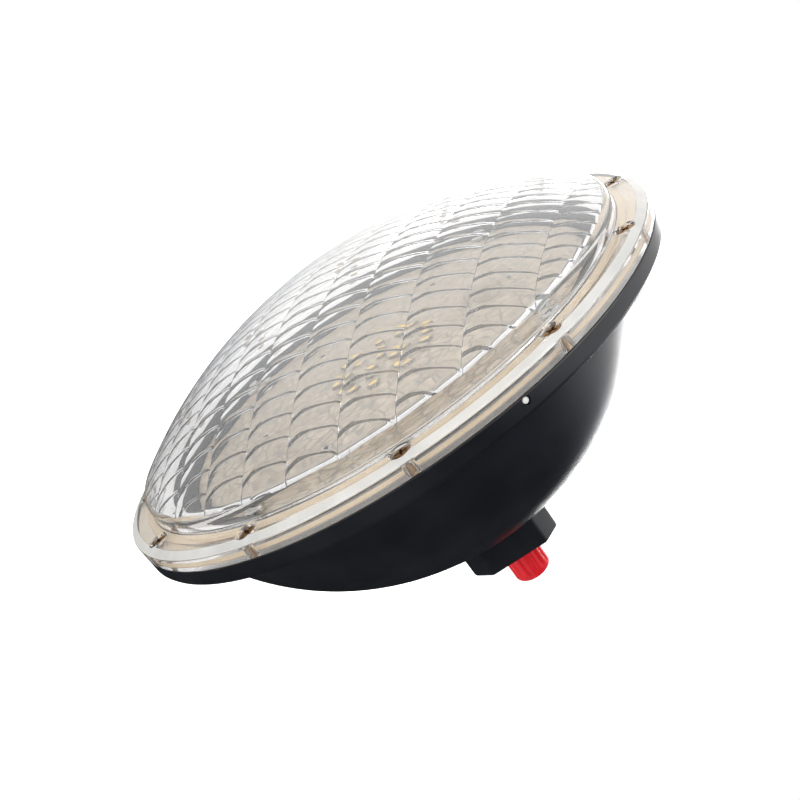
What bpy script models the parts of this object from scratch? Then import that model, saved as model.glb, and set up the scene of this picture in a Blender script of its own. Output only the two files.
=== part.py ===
"""Underwater pool light: a round lamp of the 7 inch sealed-beam size with an LED board inside.

Lengths are in millimetres until a maker function scales them to Blender's metres.
The lamp is modelled on its own axis, local +Z out of the lens and local Z = 0 on the seat, which is
the rear face of the black rim. The empty "lamp_frame" lays that axis down, so that the lens looks
along world -Y and the connector points along world +Y, as the lamp stands in a wall niche.
"""
import bmesh
import bpy
from math import asin, cos, degrees, radians, sin, tau
from mathutils import Euler, Matrix, Vector

MM = 0.001
GAP = 0.3            # air left between pieces that touch
MERGE = 0.00001      # merge distance of the turned shapes, in metres

# Rim and bowl of the housing
RIM_RADIUS = 88.9
RIM_HEIGHT = 5.2
SEAT_RADIUS = 87.5
SEAT_INNER_RADIUS = 79.7
BOWL_CENTRE = (6.0, 21.3)
BOWL_ARC_RADIUS = 75.9
WALL = 3.0
BOWL_SEAT_Z = -53.3
GROOVE = (78.8, 86.8)
GROOVE_FLOOR = 3.7

# Clear front lens
LENS_APEX = 38.4
LENS_FOOT_RADIUS = 80.4
LENS_CAP_RADIUS = 151.5
LENS_SHOULDER = 4.0
FLANGE_BOTTOM = RIM_HEIGHT + GAP
FLANGE_TOP = 10.4
FLANGE_EDGE_TOP = 9.2
FLANGE_BEVEL_START = 86.3

# Holes for the screws that hold the casing together
CLEARANCE_HOLE = 1.7
PILOT_HOLE = 1.6

# Screws round the lens
LENS_SCREW_COUNT = 12
LENS_SCREW_CIRCLE = 84.0
POCKET_RADIUS = 2.85
POCKET_FLOOR = 8.0

# LED board stack
BOARD_RADIUS = 71.0
BOARD_TOP = 1.6
BOARD_THICKNESS = 1.6
PAD_THICKNESS = 0.6
SPREADER_RADIUS = 73.0
SPREADER_THICKNESS = 2.5
BOARD_SCREW_COUNT = 4
BOARD_SCREW_CIRCLE = 64.5
LEAD_HOLE_RADIUS_AT = 35.0

# White reflector ring, which stands on the LED board's edge and hides the gap to the housing
REFLECTOR_FOOT_INNER = 67.9
REFLECTOR_FOOT_OUTER = 70.6
REFLECTOR_RIM = 76.4
REFLECTOR_TOP = 8.6
REFLECTOR_WALL = 1.0

# Driver board, which hangs behind the heat spreader
DRIVER_RADIUS = 43.0
DRIVER_THICKNESS = 1.6
STANDOFF_COUNT = 3
STANDOFF_START = tau / 12
STANDOFF_CIRCLE = 38.0
STANDOFF_LENGTH = 12.0

# Connector block on the back, and the two-pin connector in it
BLOCK_HALF_WIDTH = 15.4
BLOCK_CHAMFER = 5.5
BLOCK_END = -69.8
BLOCK_SCREW_COUNT = 4
BLOCK_SCREW_CIRCLE = 12.4
SHELL_RADIUS = 4.6
SHELL_BORE = 3.8
SHELL_TOP = -42.5
SHELL_END = -80.5
COLLAR_RADIUS = 6.6
COLLAR_SEAT = -66.0
COLLAR_TOP = -67.8
PIN_OFFSET = 1.7
PIN_TOP = -39.5
PIN_END = -77.4
CAP_RADIUS = 6.3
CAP_TIP = -84.6
CAP_BORE_END = -82.4

# Heights worked out from the ones above
BOARD_BOTTOM = BOARD_TOP - BOARD_THICKNESS
PAD_TOP = BOARD_BOTTOM - GAP
SPREADER_TOP = PAD_TOP - PAD_THICKNESS - GAP
SPREADER_BOTTOM = SPREADER_TOP - SPREADER_THICKNESS
BOSS_TOP = SPREADER_BOTTOM - GAP
STANDOFF_TOP = SPREADER_BOTTOM - GAP
STANDOFF_BOTTOM = STANDOFF_TOP - STANDOFF_LENGTH
DRIVER_TOP = STANDOFF_BOTTOM - GAP
DRIVER_BOTTOM = DRIVER_TOP - DRIVER_THICKNESS
PARTS_TOP = DRIVER_BOTTOM - GAP
BOWL_FLOOR = BOWL_SEAT_Z + WALL
BLOCK_TOP = BOWL_SEAT_Z - GAP

FINE = 48            # steps of the big turned shapes
MEDIUM = 16
COARSE = 10


# ---------------------------------------------------------------- scene and makers

def clear_scene():
    for obj in list(bpy.data.objects):
        bpy.data.objects.remove(obj, do_unlink=True)


def new_collection(name):
    collection = bpy.data.collections.new(name)
    bpy.context.scene.collection.children.link(collection)
    return collection


def material(name, colour, roughness, metallic=0.0, alpha=1.0):
    mat = bpy.data.materials.new(name)
    mat.use_nodes = True
    shader = mat.node_tree.nodes["Principled BSDF"]
    shader.inputs["Base Color"].default_value = (*colour, 1.0)
    shader.inputs["Roughness"].default_value = roughness
    shader.inputs["Metallic"].default_value = metallic
    shader.inputs["Alpha"].default_value = alpha
    return mat


def empty(name, location=(0.0, 0.0, 0.0), turn=0.0):
    obj = bpy.data.objects.new(name, None)
    PARTS.objects.link(obj)
    obj.parent = LAMP_FRAME
    obj.location = Vector(location) * MM
    obj.rotation_euler = Euler((0.0, 0.0, turn))
    return obj


def adopt(obj, mat, location=(0.0, 0.0, 0.0)):
    """Put a new object among the parts, or among the cutters when it has no material."""
    if mat is None:
        CUTTERS.objects.link(obj)
        obj.hide_render = True
        obj.display_type = "WIRE"
    else:
        PARTS.objects.link(obj)
        obj.data.materials.append(mat)
    obj.parent = LAMP_FRAME
    obj.location = Vector(location) * MM
    return obj


def arc(centre, radius, start, stop, count):
    """Profile points on an arc, from one angle to another, in degrees from the outward direction."""
    angles = [radians(start + (stop - start) * i / (count - 1)) for i in range(count)]
    return [(centre[0] + radius * cos(a), centre[1] + radius * sin(a)) for a in angles]


def turned(name, profile, mat, location=(0.0, 0.0, 0.0), steps=MEDIUM):
    """A solid of revolution. A profile that touches the axis at both ends stays open there."""
    points = [Vector((r, 0.0, z)) * MM for r, z in profile]
    closed = profile[0][0] > 0.0
    mesh = bpy.data.meshes.new(name)
    bm = bmesh.new()
    verts = [bm.verts.new(p) for p in points]
    for a, b in zip(verts, verts[1:]):
        bm.edges.new((a, b))
    if closed:
        bm.edges.new((verts[-1], verts[0]))
    bm.to_mesh(mesh)
    bm.free()
    obj = adopt(bpy.data.objects.new(name, mesh), mat, location)
    screw = obj.modifiers.new("Turn", "SCREW")
    screw.steps = steps
    screw.render_steps = steps
    screw.use_merge_vertices = True
    screw.merge_threshold = MERGE
    return obj


def rod(name, radius, top, bottom, mat, location=(0.0, 0.0, 0.0), steps=MEDIUM):
    profile = [(0.0, top), (radius, top), (radius, bottom), (0.0, bottom)]
    return turned(name, profile, mat, location, steps)


def ring(name, inner, outer, top, bottom, mat, location=(0.0, 0.0, 0.0), steps=MEDIUM):
    profile = [(outer, top), (outer, bottom), (inner, bottom), (inner, top)]
    return turned(name, profile, mat, location, steps)


def headed_pin(name, head, shank, tip, mat, location):
    """A screw: head is (radius, outer face, under face), shank a radius, tip the far end."""
    head_radius, outer, under = head
    chamfer = 0.35 if outer > under else -0.35
    profile = [(0.0, outer), (head_radius - abs(chamfer), outer), (head_radius, outer - chamfer),
               (head_radius, under), (shank, under), (shank, tip), (0.0, tip)]
    if outer < under:
        profile.reverse()
    return turned(name, profile, mat, location, steps=COARSE)


def box(name, centre, size, mat, turn=0.0):
    mesh = bpy.data.meshes.new(name)
    bm = bmesh.new()
    bmesh.ops.create_cube(bm, size=1.0, matrix=Matrix.Diagonal((*(Vector(size) * MM), 1.0)))
    bm.to_mesh(mesh)
    bm.free()
    obj = adopt(bpy.data.objects.new(name, mesh), mat, centre)
    obj.rotation_euler = Euler((0.0, 0.0, turn))
    return obj


def on_circle(radius, count, start=0.0):
    """Places on a circle about the lamp's axis."""
    turns = [start + tau * i / count for i in range(count)]
    return [(radius * cos(t), radius * sin(t), 0.0) for t in turns]


def around(obj, radius, count, start=0.0):
    """Repeat a turned cutter on a circle about the lamp's axis."""
    step = tau / count
    obj.location += Vector((radius * cos(start), radius * sin(start), 0.0)) * MM
    obj.rotation_euler = Euler((0.0, 0.0, start))
    turn = start + step
    following = empty(f"{obj.name}_next", (radius * cos(turn), radius * sin(turn), 0.0), turn)
    array = obj.modifiers.new("Around", "ARRAY")
    array.use_relative_offset = False
    array.use_object_offset = True
    array.offset_object = following
    array.count = count
    return obj


def combine(obj, operation, *others):
    for other in others:
        boolean = obj.modifiers.new(operation.title(), "BOOLEAN")
        boolean.operation = operation
        boolean.solver = "EXACT"
        boolean.object = other
    return obj


def cut(obj, *cutters):
    return combine(obj, "DIFFERENCE", *cutters)


def soften(obj, width, segments=2):
    bevel = obj.modifiers.new("Soften", "BEVEL")
    bevel.width = width * MM
    bevel.segments = segments
    bevel.limit_method = "ANGLE"
    return obj


def wire(name, route, radius, mat, samples=14):
    """A lead on a smooth curve through its route's points, sampled as a polyline."""
    points = smooth_route(route, samples)
    curve = bpy.data.curves.new(name, "CURVE")
    curve.dimensions = "3D"
    curve.bevel_depth = radius * MM
    curve.bevel_resolution = 2
    curve.use_fill_caps = True
    spline = curve.splines.new("POLY")
    spline.points.add(len(points) - 1)
    for target, point in zip(spline.points, points):
        target.co = (*(point * MM), 1.0)
    return adopt(bpy.data.objects.new(name, curve), mat)


def smooth_route(route, samples):
    """Evenly spread points on a Catmull-Rom curve through the route."""
    knots = [Vector(p) for p in route]
    knots = [knots[0] * 2 - knots[1]] + knots + [knots[-1] * 2 - knots[-2]]
    spans = len(knots) - 3
    points = []
    for i in range(samples):
        place = spans * i / (samples - 1)
        k = min(int(place), spans - 1)
        t = place - k
        p0, p1, p2, p3 = knots[k:k + 4]
        points.append(0.5 * (2 * p1 + (p2 - p0) * t + (2 * p0 - 5 * p1 + 4 * p2 - p3) * t ** 2
                             + (3 * p1 - p0 - 3 * p2 + p3) * t ** 3))
    return points


def bowl_arc(radius, top, bottom, count):
    """Profile points on the bowl's wall, from one height down to another."""
    start, stop = (degrees(asin((z - BOWL_CENTRE[1]) / radius)) for z in (top, bottom))
    return arc(BOWL_CENTRE, radius, start, stop, count)


# ---------------------------------------------------------------- lens, rim and bowl

def make_lens(clear):
    cap_centre = (0.0, LENS_APEX - LENS_CAP_RADIUS)
    fillet_r = LENS_FOOT_RADIUS - LENS_SHOULDER
    reach = LENS_CAP_RADIUS - LENS_SHOULDER
    fillet = (fillet_r, cap_centre[1] + (reach ** 2 - fillet_r ** 2) ** 0.5)
    meeting = degrees(asin((fillet[1] - cap_centre[1]) / reach))
    inner = LENS_FOOT_RADIUS - WALL
    outside = arc(cap_centre, LENS_CAP_RADIUS, 90.0, meeting, 9)[:-1]
    outside += arc(fillet, LENS_SHOULDER, meeting, 0.0, 4)
    outside += [(LENS_FOOT_RADIUS, FLANGE_TOP + 0.7), (LENS_FOOT_RADIUS + 0.6, FLANGE_TOP),
                (FLANGE_BEVEL_START, FLANGE_TOP), (RIM_RADIUS, FLANGE_EDGE_TOP),
                (RIM_RADIUS, FLANGE_BOTTOM)]
    inside = [(inner, FLANGE_BOTTOM)]
    inside += arc(fillet, LENS_SHOULDER - WALL, 0.0, meeting, 2)
    inside += arc(cap_centre, LENS_CAP_RADIUS - WALL, meeting, 90.0, 8)[1:]
    outside[0] = (0.0, LENS_APEX)
    inside[-1] = (0.0, LENS_APEX - WALL)
    lens = turned("front_lens", outside + inside, clear, steps=FINE)
    pockets = rod("lens_pocket_cutter", POCKET_RADIUS, FLANGE_TOP + 2.0, POCKET_FLOOR, None)
    holes = rod("lens_hole_cutter", CLEARANCE_HOLE, POCKET_FLOOR + 1.0, FLANGE_BOTTOM - 1.0, None,
                steps=COARSE)
    for cutter in (pockets, holes):
        around(cutter, LENS_SCREW_CIRCLE, LENS_SCREW_COUNT)
    cut(lens, pockets, holes)


def make_lens_fixings(steel, silicone):
    under_head = POCKET_FLOOR + GAP
    for i, place in enumerate(on_circle(LENS_SCREW_CIRCLE, LENS_SCREW_COUNT)):
        headed_pin(f"lens_screw_{i + 1:02d}", (2.5, under_head + 1.7, under_head), 1.3, 1.2, steel, place)
    gasket = ring("lens_gasket", GROOVE[0] + GAP, GROOVE[1] - GAP, FLANGE_BOTTOM - GAP,
                  GROOVE_FLOOR + GAP, silicone, steps=FINE)
    holes = rod("gasket_hole_cutter", 1.8, FLANGE_BOTTOM + 1.0, GROOVE_FLOOR - 1.0, None, steps=COARSE)
    around(holes, LENS_SCREW_CIRCLE, LENS_SCREW_COUNT)
    cut(gasket, holes)


def make_housing(black, white):
    floor_arc = bowl_arc(BOWL_ARC_RADIUS - WALL, 0.0, BOWL_FLOOR, 9)
    floor_arc.reverse()
    lip = GROOVE[0] - 2.0
    profile = [(0.0, BOWL_FLOOR)] + floor_arc
    profile += [(lip, 0.8), (lip, RIM_HEIGHT), (GROOVE[0], RIM_HEIGHT), (GROOVE[0], GROOVE_FLOOR),
                (GROOVE[1], GROOVE_FLOOR), (GROOVE[1], RIM_HEIGHT), (RIM_RADIUS - 0.4, RIM_HEIGHT),
                (RIM_RADIUS, RIM_HEIGHT - 0.4), (RIM_RADIUS, 1.3), (RIM_RADIUS - 0.5, 0.4),
                (SEAT_RADIUS, 0.0), (SEAT_INNER_RADIUS, 0.0)]
    profile += bowl_arc(BOWL_ARC_RADIUS, -0.9, BOWL_SEAT_Z, 11) + [(0.0, BOWL_SEAT_Z)]
    housing = turned("rear_housing", profile, black, steps=FINE)

    bosses = rod("housing_bosses", 3.5, BOSS_TOP, -21.8, None, steps=MEDIUM)
    pilots = rod("boss_pilot_cutter", CLEARANCE_HOLE, BOSS_TOP + 1.0, -12.5, None, steps=COARSE)
    for cutter in (bosses, pilots):
        around(cutter, BOARD_SCREW_CIRCLE, BOARD_SCREW_COUNT, tau / 8)
    screw_holes = rod("rim_screw_hole_cutter", PILOT_HOLE, GROOVE_FLOOR + 1.0, 0.8, None, steps=COARSE)
    around(screw_holes, LENS_SCREW_CIRCLE, LENS_SCREW_COUNT)
    block_holes = rod("block_screw_hole_cutter", CLEARANCE_HOLE, BOWL_FLOOR + 1.0, BOWL_SEAT_Z - 1.0, None,
                      steps=COARSE)
    around(block_holes, BLOCK_SCREW_CIRCLE, BLOCK_SCREW_COUNT, tau / 8)
    shell_hole = rod("shell_hole_cutter", SHELL_RADIUS + GAP, BOWL_FLOOR + 1.0, BOWL_SEAT_Z - 1.0, None)

    pip_depth, pip_height, pip_angle = 1.5, 3.9, radians(18.9)
    pip = rod("index_pip", 0.85, 0.0, GAP - pip_depth, white, steps=COARSE)
    pip_hole = rod("pip_hole_cutter", 1.1, 2.0, -pip_depth, None, steps=COARSE)
    for obj in (pip, pip_hole):
        reach = RIM_RADIUS * cos(radians(180.0 / FINE)) - 0.05
        obj.location = Vector((reach * cos(pip_angle), reach * sin(pip_angle), pip_height)) * MM
        obj.rotation_euler = Euler((0.0, radians(90.0), pip_angle))
    combine(housing, "UNION", bosses)
    cut(housing, pilots, screw_holes, block_holes, shell_hole, pip_hole)


# ---------------------------------------------------------------- LED board stack

def make_led_stack(solder_mask, white, pad_grey, aluminium, steel, rubber):
    board = rod("led_board", BOARD_RADIUS, BOARD_TOP, BOARD_BOTTOM, solder_mask, steps=FINE)
    pad = rod("thermal_pad", BOARD_RADIUS - 0.5, PAD_TOP, PAD_TOP - PAD_THICKNESS, pad_grey, steps=FINE)
    spreader = rod("heat_spreader", SPREADER_RADIUS, SPREADER_TOP, SPREADER_BOTTOM, aluminium,
                   steps=FINE)
    fixing_holes = rod("board_screw_hole_cutter", 1.8, BOARD_TOP + 1.0, SPREADER_BOTTOM - 1.0, None,
                       steps=COARSE)
    around(fixing_holes, BOARD_SCREW_CIRCLE, BOARD_SCREW_COUNT, tau / 8)
    stud_holes = rod("stud_hole_cutter", 1.7, SPREADER_TOP + 0.4, SPREADER_BOTTOM - 1.0, None,
                     steps=COARSE)
    around(stud_holes, STANDOFF_CIRCLE, STANDOFF_COUNT, STANDOFF_START)
    lead_at = (0.0, LEAD_HOLE_RADIUS_AT, 0.0)
    board_slot = rod("board_lead_hole_cutter", 2.8, BOARD_TOP + 1.0, BOARD_BOTTOM - 0.2, None, lead_at)
    pad_slot = rod("pad_lead_hole_cutter", 4.4, PAD_TOP + 0.2, PAD_TOP - PAD_THICKNESS - 0.2, None,
                   lead_at)
    spreader_slot = rod("spreader_lead_hole_cutter", 4.4, SPREADER_TOP + 0.2, SPREADER_BOTTOM - 1.0,
                        None, lead_at)
    cut(board, fixing_holes, board_slot)
    cut(pad, fixing_holes, pad_slot)
    cut(spreader, fixing_holes, stud_holes, spreader_slot)

    foot, foot_top = BOARD_TOP + GAP, BOARD_TOP + GAP + REFLECTOR_WALL
    reflector = [(REFLECTOR_RIM, REFLECTOR_TOP), (REFLECTOR_FOOT_OUTER, foot),
                 (REFLECTOR_FOOT_INNER, foot), (REFLECTOR_FOOT_INNER, foot_top),
                 (REFLECTOR_FOOT_OUTER - REFLECTOR_WALL / 2, foot_top),
                 (REFLECTOR_RIM - REFLECTOR_WALL, REFLECTOR_TOP)]
    turned("reflector_ring", reflector, white, steps=FINE)

    head_face = BOARD_TOP + GAP
    for i, place in enumerate(on_circle(BOARD_SCREW_CIRCLE, BOARD_SCREW_COUNT, tau / 8)):
        headed_pin(f"board_screw_{i + 1}", (2.8, head_face + 2.0, head_face), 1.4, -11.5, steel, place)
    top, bottom = PAD_TOP - 0.2, SPREADER_BOTTOM - 0.9
    grommet = [(4.1, top), (4.1, SPREADER_BOTTOM - GAP), (5.2, SPREADER_BOTTOM - GAP),
               (5.2, bottom), (2.4, bottom), (2.4, top)]
    turned("lead_grommet", grommet, rubber, lead_at)


# ---------------------------------------------------------------- driver

def make_driver(board_green, black, steel, brass, sleeve, ferrite, copper, glassy):
    stud_top = SPREADER_BOTTOM + 2.0
    outline = [(0.0, stud_top), (1.3, stud_top), (1.3, STANDOFF_TOP), (2.9, STANDOFF_TOP),
               (2.9, STANDOFF_BOTTOM), (1.9, STANDOFF_BOTTOM), (1.9, STANDOFF_BOTTOM + 6.0),
               (0.0, STANDOFF_BOTTOM + 6.0)]
    screw_tip = PARTS_TOP + 6.5
    for i, place in enumerate(on_circle(STANDOFF_CIRCLE, STANDOFF_COUNT, STANDOFF_START)):
        turned(f"driver_standoff_{i + 1}", outline, brass, place, steps=6)
        headed_pin(f"driver_screw_{i + 1}", (2.7, PARTS_TOP - 1.8, PARTS_TOP), 1.3, screw_tip, steel,
                   place)
    board = rod("driver_board", DRIVER_RADIUS, DRIVER_TOP, DRIVER_BOTTOM, board_green, steps=FINE)
    holes = rod("driver_hole_cutter", CLEARANCE_HOLE, DRIVER_TOP + 1.0, DRIVER_BOTTOM - 1.0, None,
                steps=COARSE)
    cut(board, around(holes, STANDOFF_CIRCLE, STANDOFF_COUNT, STANDOFF_START))

    capacitor = [(0.0, PARTS_TOP), (6.0, PARTS_TOP), (6.0, PARTS_TOP - 1.6), (6.4, PARTS_TOP - 2.2),
                 (6.4, PARTS_TOP - 20.2), (5.9, PARTS_TOP - 20.8), (0.0, PARTS_TOP - 20.8)]
    for i, place in enumerate(on_circle(21.0, 2, tau * 5 / 12)):
        turned(f"smoothing_capacitor_{i + 1}", capacitor, sleeve, place)
    box("bridge_rectifier", (6.0, 27.0, PARTS_TOP - 8.0), (21.0, 4.0, 16.0), black)
    box("controller_chip", (-14.0, 24.0, PARTS_TOP - 0.9), (5.0, 4.0, 1.8), black)
    box("switching_transistor", (29.0, 2.0, PARTS_TOP - 1.2), (6.5, 9.0, 2.4), black)

    at = (13.0, -27.0, 0.0)
    bobbin = [(0.0, PARTS_TOP), (7.0, PARTS_TOP), (7.0, PARTS_TOP - 2.0), (3.6, PARTS_TOP - 2.0),
              (3.6, PARTS_TOP - 10.0), (7.0, PARTS_TOP - 10.0), (7.0, PARTS_TOP - 12.0),
              (0.0, PARTS_TOP - 12.0)]
    turned("inductor_core", bobbin, ferrite, at)
    ring("inductor_winding", 3.6 + GAP, 6.5, PARTS_TOP - 2.0 - GAP, PARTS_TOP - 10.0 + GAP, copper, at)

    fuse = rod("fuse", 2.6, 10.0, -10.0, glassy, (-12.0, -31.0, PARTS_TOP - 2.7))
    fuse.rotation_euler = Euler((0.0, radians(90.0), 0.0))


# ---------------------------------------------------------------- connector

def make_connector_block(black, rubber, steel):
    mesh = bpy.data.meshes.new("connector_block")
    bm = bmesh.new()
    height = BLOCK_TOP - BLOCK_END
    size = Matrix.Diagonal((2 * BLOCK_HALF_WIDTH * MM, 2 * BLOCK_HALF_WIDTH * MM, height * MM, 1.0))
    middle = Matrix.Translation((0.0, 0.0, (BLOCK_TOP + BLOCK_END) / 2 * MM))
    bmesh.ops.create_cube(bm, size=1.0, matrix=middle @ size)
    upright = [e for e in bm.edges if abs(e.verts[0].co.z - e.verts[1].co.z) > height * MM / 2]
    bmesh.ops.bevel(bm, geom=upright, offset=BLOCK_CHAMFER * MM, segments=1, affect="EDGES")
    bm.to_mesh(mesh)
    bm.free()
    block = soften(adopt(bpy.data.objects.new("connector_block", mesh), black), 0.8)

    recess = rod("gasket_recess_cutter", BLOCK_HALF_WIDTH - 0.9, BLOCK_TOP + 1.0, BLOCK_TOP - 1.2, None,
                 steps=FINE // 2)
    bore = rod("block_bore_cutter", SHELL_RADIUS + GAP, BLOCK_TOP, BLOCK_END - 1.0, None)
    seat = rod("collar_seat_cutter", COLLAR_RADIUS + GAP, COLLAR_SEAT, BLOCK_END - 1.0, None)
    pilots = rod("block_pilot_cutter", PILOT_HOLE, BLOCK_TOP, -64.5, None, steps=COARSE)
    around(pilots, BLOCK_SCREW_CIRCLE, BLOCK_SCREW_COUNT, tau / 8)
    cut(block, recess, bore, seat, pilots)

    gasket = rod("block_gasket", BLOCK_HALF_WIDTH - 1.2, BLOCK_TOP, BLOCK_TOP - 0.9, rubber,
                 steps=FINE // 2)
    screw_holes = rod("block_gasket_hole_cutter", CLEARANCE_HOLE, BLOCK_TOP + 1.0, BLOCK_TOP - 2.0, None,
                      steps=COARSE)
    around(screw_holes, BLOCK_SCREW_CIRCLE, BLOCK_SCREW_COUNT, tau / 8)
    shell_hole = rod("block_gasket_bore_cutter", SHELL_RADIUS + GAP, BLOCK_TOP + 1.0, BLOCK_TOP - 2.0,
                     None)
    cut(gasket, screw_holes, shell_hole)

    head_face = BOWL_FLOOR + GAP
    for i, place in enumerate(on_circle(BLOCK_SCREW_CIRCLE, BLOCK_SCREW_COUNT, tau / 8)):
        headed_pin(f"block_screw_{i + 1}", (2.4, head_face + 1.8, head_face), 1.3, -63.5, steel, place)


def make_connector(nickel, insulator, gold, rubber):
    shell = [(SHELL_RADIUS, SHELL_TOP), (SHELL_RADIUS, COLLAR_TOP), (COLLAR_RADIUS, COLLAR_TOP),
             (COLLAR_RADIUS, BLOCK_END + GAP), (SHELL_RADIUS, BLOCK_END + GAP),
             (SHELL_RADIUS, SHELL_END + 0.4), (SHELL_RADIUS - 0.3, SHELL_END),
             (SHELL_BORE, SHELL_END), (SHELL_BORE, SHELL_TOP)]
    turned("connector_shell", shell, nickel, steps=20)
    ring("connector_seal", SHELL_RADIUS + GAP, COLLAR_RADIUS - 0.2, COLLAR_SEAT - GAP,
         COLLAR_TOP + GAP, rubber)

    washer_top = BOWL_FLOOR + GAP + 1.0
    ring("connector_washer", SHELL_RADIUS + GAP, 7.8, washer_top, BOWL_FLOOR + GAP, nickel)
    nut = rod("connector_nut", 7.6, washer_top + GAP + 4.0, washer_top + GAP, nickel, steps=6)
    cut(nut, rod("nut_bore_cutter", SHELL_RADIUS + GAP, SHELL_TOP + 5.0, BOWL_FLOOR, None))

    insert = rod("connector_insert", SHELL_BORE - GAP, SHELL_TOP - 1.5, PIN_END + 1.9, insulator)
    holes = rod("pin_hole_cutter", 1.05, PIN_TOP, PIN_END, None, steps=COARSE)
    cut(insert, around(holes, PIN_OFFSET, 2))
    for side, place in zip(("right", "left"), on_circle(PIN_OFFSET, 2)):
        rod(f"contact_pin_{side}", 0.75, PIN_TOP, PIN_END, gold, place, steps=COARSE)


def make_cap(red, rubber):
    """The screw-on protective cap, and the sealing washer that travels with it."""
    bore = SHELL_RADIUS + GAP
    cap = [(0.0, CAP_BORE_END), (bore, CAP_BORE_END), (bore, BLOCK_END), (CAP_RADIUS, BLOCK_END),
           (CAP_RADIUS, CAP_TIP + 1.3), (CAP_RADIUS - 0.4, CAP_TIP + 0.4), (CAP_RADIUS - 1.3, CAP_TIP),
           (0.0, CAP_TIP)]
    turned("protective_cap", cap, red, steps=20)
    ring("cap_seal", SHELL_BORE + 0.1, SHELL_RADIUS, SHELL_END - GAP, CAP_BORE_END + GAP, rubber)


def make_leads(red, black):
    """Two leads from the driver up to the LED board, and two from the contacts up to the driver."""
    radius = 0.8
    over_board = BOARD_TOP + GAP + radius + 0.2
    for name, side, colour in (("red", 1.0, red), ("black", -1.0, black)):
        x, y = 1.2 * side, LEAD_HOLE_RADIUS_AT
        route = [(x, y, DRIVER_TOP + GAP), (x, y, -11.0), (x, y, -5.0), (x, y, 0.6),
                 (1.9 * side, y, over_board - 0.3), (3.6 * side, y, over_board),
                 (5.5 * side, y, over_board)]
        wire(f"led_lead_{name}", route, radius, colour, samples=16)
        x = PIN_OFFSET * side
        route = [(x, 0.0, PIN_TOP + GAP), (x, -0.4, -37.0), (2.6 * side, -4.0, -33.0),
                 (4.2 * side, -11.0, -28.0), (5.0 * side, -17.5, -23.0), (5.0 * side, -19.0, PARTS_TOP)]
        wire(f"input_lead_{name}", route, radius, colour)


def build():
    clear = material("clear_polycarbonate", (0.86, 0.87, 0.86), 0.05, alpha=0.3)
    black = material("black_housing_plastic", (0.012, 0.013, 0.015), 0.35)
    white = material("white_plastic", (0.85, 0.85, 0.83), 0.4)
    solder_mask = material("white_solder_mask", (0.8, 0.8, 0.78), 0.45)
    steel = material("stainless_steel", (0.6, 0.58, 0.54), 0.3, metallic=1.0)
    brass = material("brass", (0.6, 0.42, 0.16), 0.3, metallic=1.0)
    nickel = material("nickel_plate", (0.66, 0.64, 0.6), 0.25, metallic=1.0)
    gold = material("gold_plate", (0.85, 0.6, 0.22), 0.25, metallic=1.0)
    aluminium = material("aluminium", (0.72, 0.73, 0.74), 0.4, metallic=1.0)
    copper = material("enamelled_copper", (0.55, 0.2, 0.08), 0.35, metallic=1.0)
    silicone = material("cream_silicone", (0.62, 0.5, 0.33), 0.6)
    rubber = material("black_rubber", (0.02, 0.02, 0.02), 0.7)
    pad_grey = material("thermal_pad_grey", (0.45, 0.47, 0.5), 0.8)
    green = material("green_circuit_board", (0.03, 0.16, 0.07), 0.4)
    sleeve = material("capacitor_sleeve", (0.03, 0.05, 0.12), 0.35)
    ferrite = material("ferrite", (0.07, 0.07, 0.08), 0.6)
    glassy = material("fuse_glass", (0.7, 0.75, 0.75), 0.1)
    lead_red = material("red_insulation", (0.6, 0.02, 0.02), 0.45)
    cap_red = material("red_cap_plastic", (0.75, 0.02, 0.03), 0.35)

    make_lens(clear)
    make_lens_fixings(steel, silicone)
    make_housing(black, white)
    make_led_stack(solder_mask, white, pad_grey, aluminium, steel, rubber)
    make_driver(green, black, steel, brass, sleeve, ferrite, copper, glassy)
    make_connector_block(black, rubber, steel)
    make_connector(nickel, white, gold, rubber)
    make_cap(cap_red, rubber)
    make_leads(lead_red, rubber)


clear_scene()
PARTS = new_collection("underwater_pool_light")
CUTTERS = new_collection("cutters")
LAMP_FRAME = bpy.data.objects.new("lamp_frame", None)
LAMP_FRAME.rotation_euler = Euler((radians(90.0), 0.0, 0.0))
PARTS.objects.link(LAMP_FRAME)
build()
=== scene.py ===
"""Looks of the underwater pool light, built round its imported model.

Shapes are modelled in millimetres on the lamp's own axis, with z out of the lens and z = 0 on the seat
of the black rim. The matrix LAMP lays that axis down, so that the lens looks along world -Y.
"""
from math import asin, atan2, cos, degrees, hypot, pi, radians, sin, sqrt, tan, tau

import bmesh
import bpy
from mathutils import Matrix, Vector


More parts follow.
